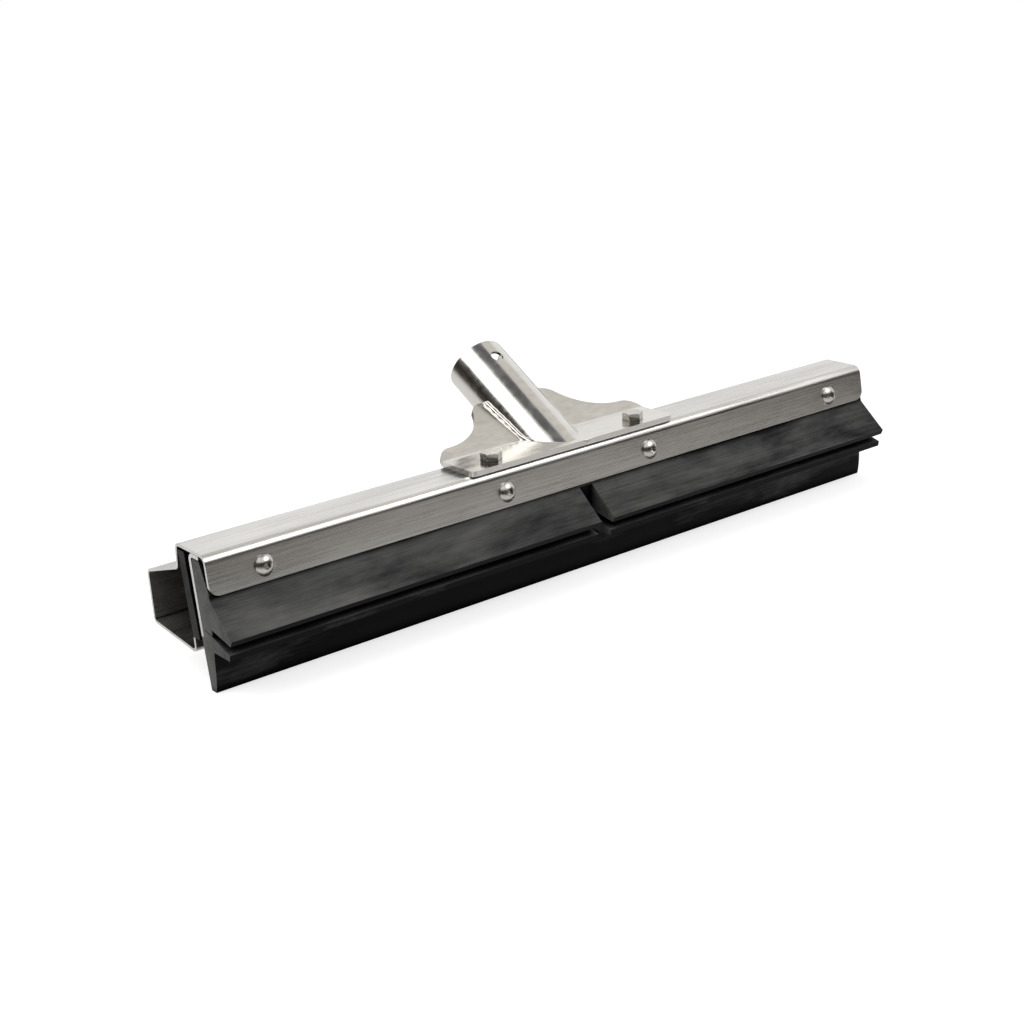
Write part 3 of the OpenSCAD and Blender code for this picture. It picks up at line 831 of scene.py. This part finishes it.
# %% Soft boxes
def soft_box(name, place, aim, size, power):
    lamp = bpy.data.lights.new(name, "AREA")
    lamp.shape = "RECTANGLE"
    lamp.size = size[0]
    lamp.size_y = size[1]
    lamp.energy = power
    box = bpy.data.objects.new(name, lamp)
    bpy.context.collection.objects.link(box)
    box.location = place
    box.rotation_euler = (Vector(aim) - Vector(place)).to_track_quat("-Z", "Y").to_euler()
    print(name, "power:", power, "W")


soft_box("left_box", place=(-0.84, 0.31, 1.16), aim=(0, 0.06, 0.09), size=(1.0, 0.95), power=7)
soft_box("front_box", place=(0.45, -0.66, 0.95), aim=(0, 0, 0.06), size=(0.8, 0.4), power=3.6)

# %% [markdown]
# ## Dark cards
# The tube's bands also show that the ceiling was dark above the left soft box, that the white
# paper reached about half a metre, and that the room beyond it was dark. These parts of the
# room are big cards that only reflections can see. Their tone changes slowly from place to
# place, as the things in a real room do, and the floor's card is clear near the head, where
# the paper lies.

# %% Dark room
THINGS_PER_M = 4.5
ALONG_THE_HEAD = 0.35


def dark_room(name, low_shade, high_shade, clear_m=None):
    material, tree = new_material(name)
    place = add_node(tree, "TexCoord").outputs["Object"]
    things = add_node(tree, "TexNoise", Vector=place, Scale=THINGS_PER_M, Detail=1.0).outputs[0]
    tint = add_node(tree, "ValToRGB", Fac=things, stops=(
        (0.42, linear(low_shade)), (0.58, linear(high_shade)))).outputs[0]
    surface = add_node(tree, "Emission", Color=tint, Strength=1.0).outputs[0]
    if clear_m:
        narrow = add_node(tree, "Mapping", Vector=place, Scale=(ALONG_THE_HEAD, 1, 1)).outputs[0]
        reach = add_node(tree, "VectorMath", {"operation": "LENGTH"}, _0=narrow).outputs["Value"]
        edge = add_node(tree, "MapRange", _0=reach, _1=clear_m[0], _2=clear_m[1]).outputs[0]
        clear = add_node(tree, "BsdfTransparent").outputs[0]
        surface = add_node(tree, "MixShader", _0=edge, _1=clear, _2=surface).outputs[0]
    add_node(tree, "OutputMaterial", Surface=surface)
    return material


# Dark walls: they give the round tube its dark bands.
dark_wall = dark_room("dark_studio_wall", "#1d1b1a", "#45413d")
# Dark floor past the paper: upright faces mirror it in place of plain white.
dark_floor = dark_room("dark_floor_beyond_the_paper", "#0c0d10", "#5e5a53", (0.22, 0.45))
# Ceiling in shade: it takes the glare off faces that look up.
dark_ceiling = dark_room("dark_studio_ceiling", "#4f5053", "#727376")
# Paler ceiling and floor at the right: that side of the metal stays light.
grey_ceiling = dark_room("grey_studio_ceiling", "#d4d1cb", "#f0eeea")
pale_patch = dark_room("pale_floor_patch", "#e6e2d8", "#f0ece2", (0.24, 0.05))

# %% [markdown]
# ## Hanging the cards
# A wall is a strip of a round tower, cut to the stretch that the metal mirrors. The ceilings
# and the floor's cards are plain squares. Square walls would show their corners in the tube.

# %% Cards
ROOM_R = 2.2


def card(thing, name, material):
    thing.name = name
    thing.data.materials.append(material)
    thing.visible_camera = False
    thing.visible_diffuse = False
    thing.visible_transmission = False
    thing.visible_shadow = False
    print("card:", name)


def wall_card(name, start_deg, end_deg, height):
    bpy.ops.mesh.primitive_cylinder_add(vertices=72, radius=ROOM_R, depth=height,
                                        end_fill_type="NOTHING", location=(0, 0, height / 2))
    wall = bpy.context.object
    bpy.ops.object.mode_set(mode="EDIT")
    bpy.ops.mesh.select_mode(type="FACE")
    bpy.ops.mesh.select_all(action="DESELECT")
    bpy.ops.object.mode_set(mode="OBJECT")
    for face in wall.data.polygons:
        angle = math.degrees(math.atan2(face.center.y, face.center.x)) % 360
        face.select = not start_deg <= angle <= end_deg
    bpy.ops.object.mode_set(mode="EDIT")
    bpy.ops.mesh.delete(type="FACE")
    bpy.ops.object.mode_set(mode="OBJECT")
    card(wall, name, dark_wall)


def flat_card(name, size, place, material):
    bpy.ops.mesh.primitive_plane_add(size=size, location=place)
    card(bpy.context.object, name, material)


wall_card("left_wall", start_deg=95, end_deg=290, height=1.35)
wall_card("right_front_wall", start_deg=285, end_deg=338, height=1.0)
flat_card("far_floor", 2 * ROOM_R, (0, 0.1, 0.0008), dark_floor)
flat_card("floor_patch", 0.7, (0.36, -0.52, 0.0016), pale_patch)
flat_card("ceiling", 1.1, (0.05, 0, 1.9), dark_ceiling)
flat_card("right_ceiling", 1.8, (1.5, 0.3, 1.9), grey_ceiling)
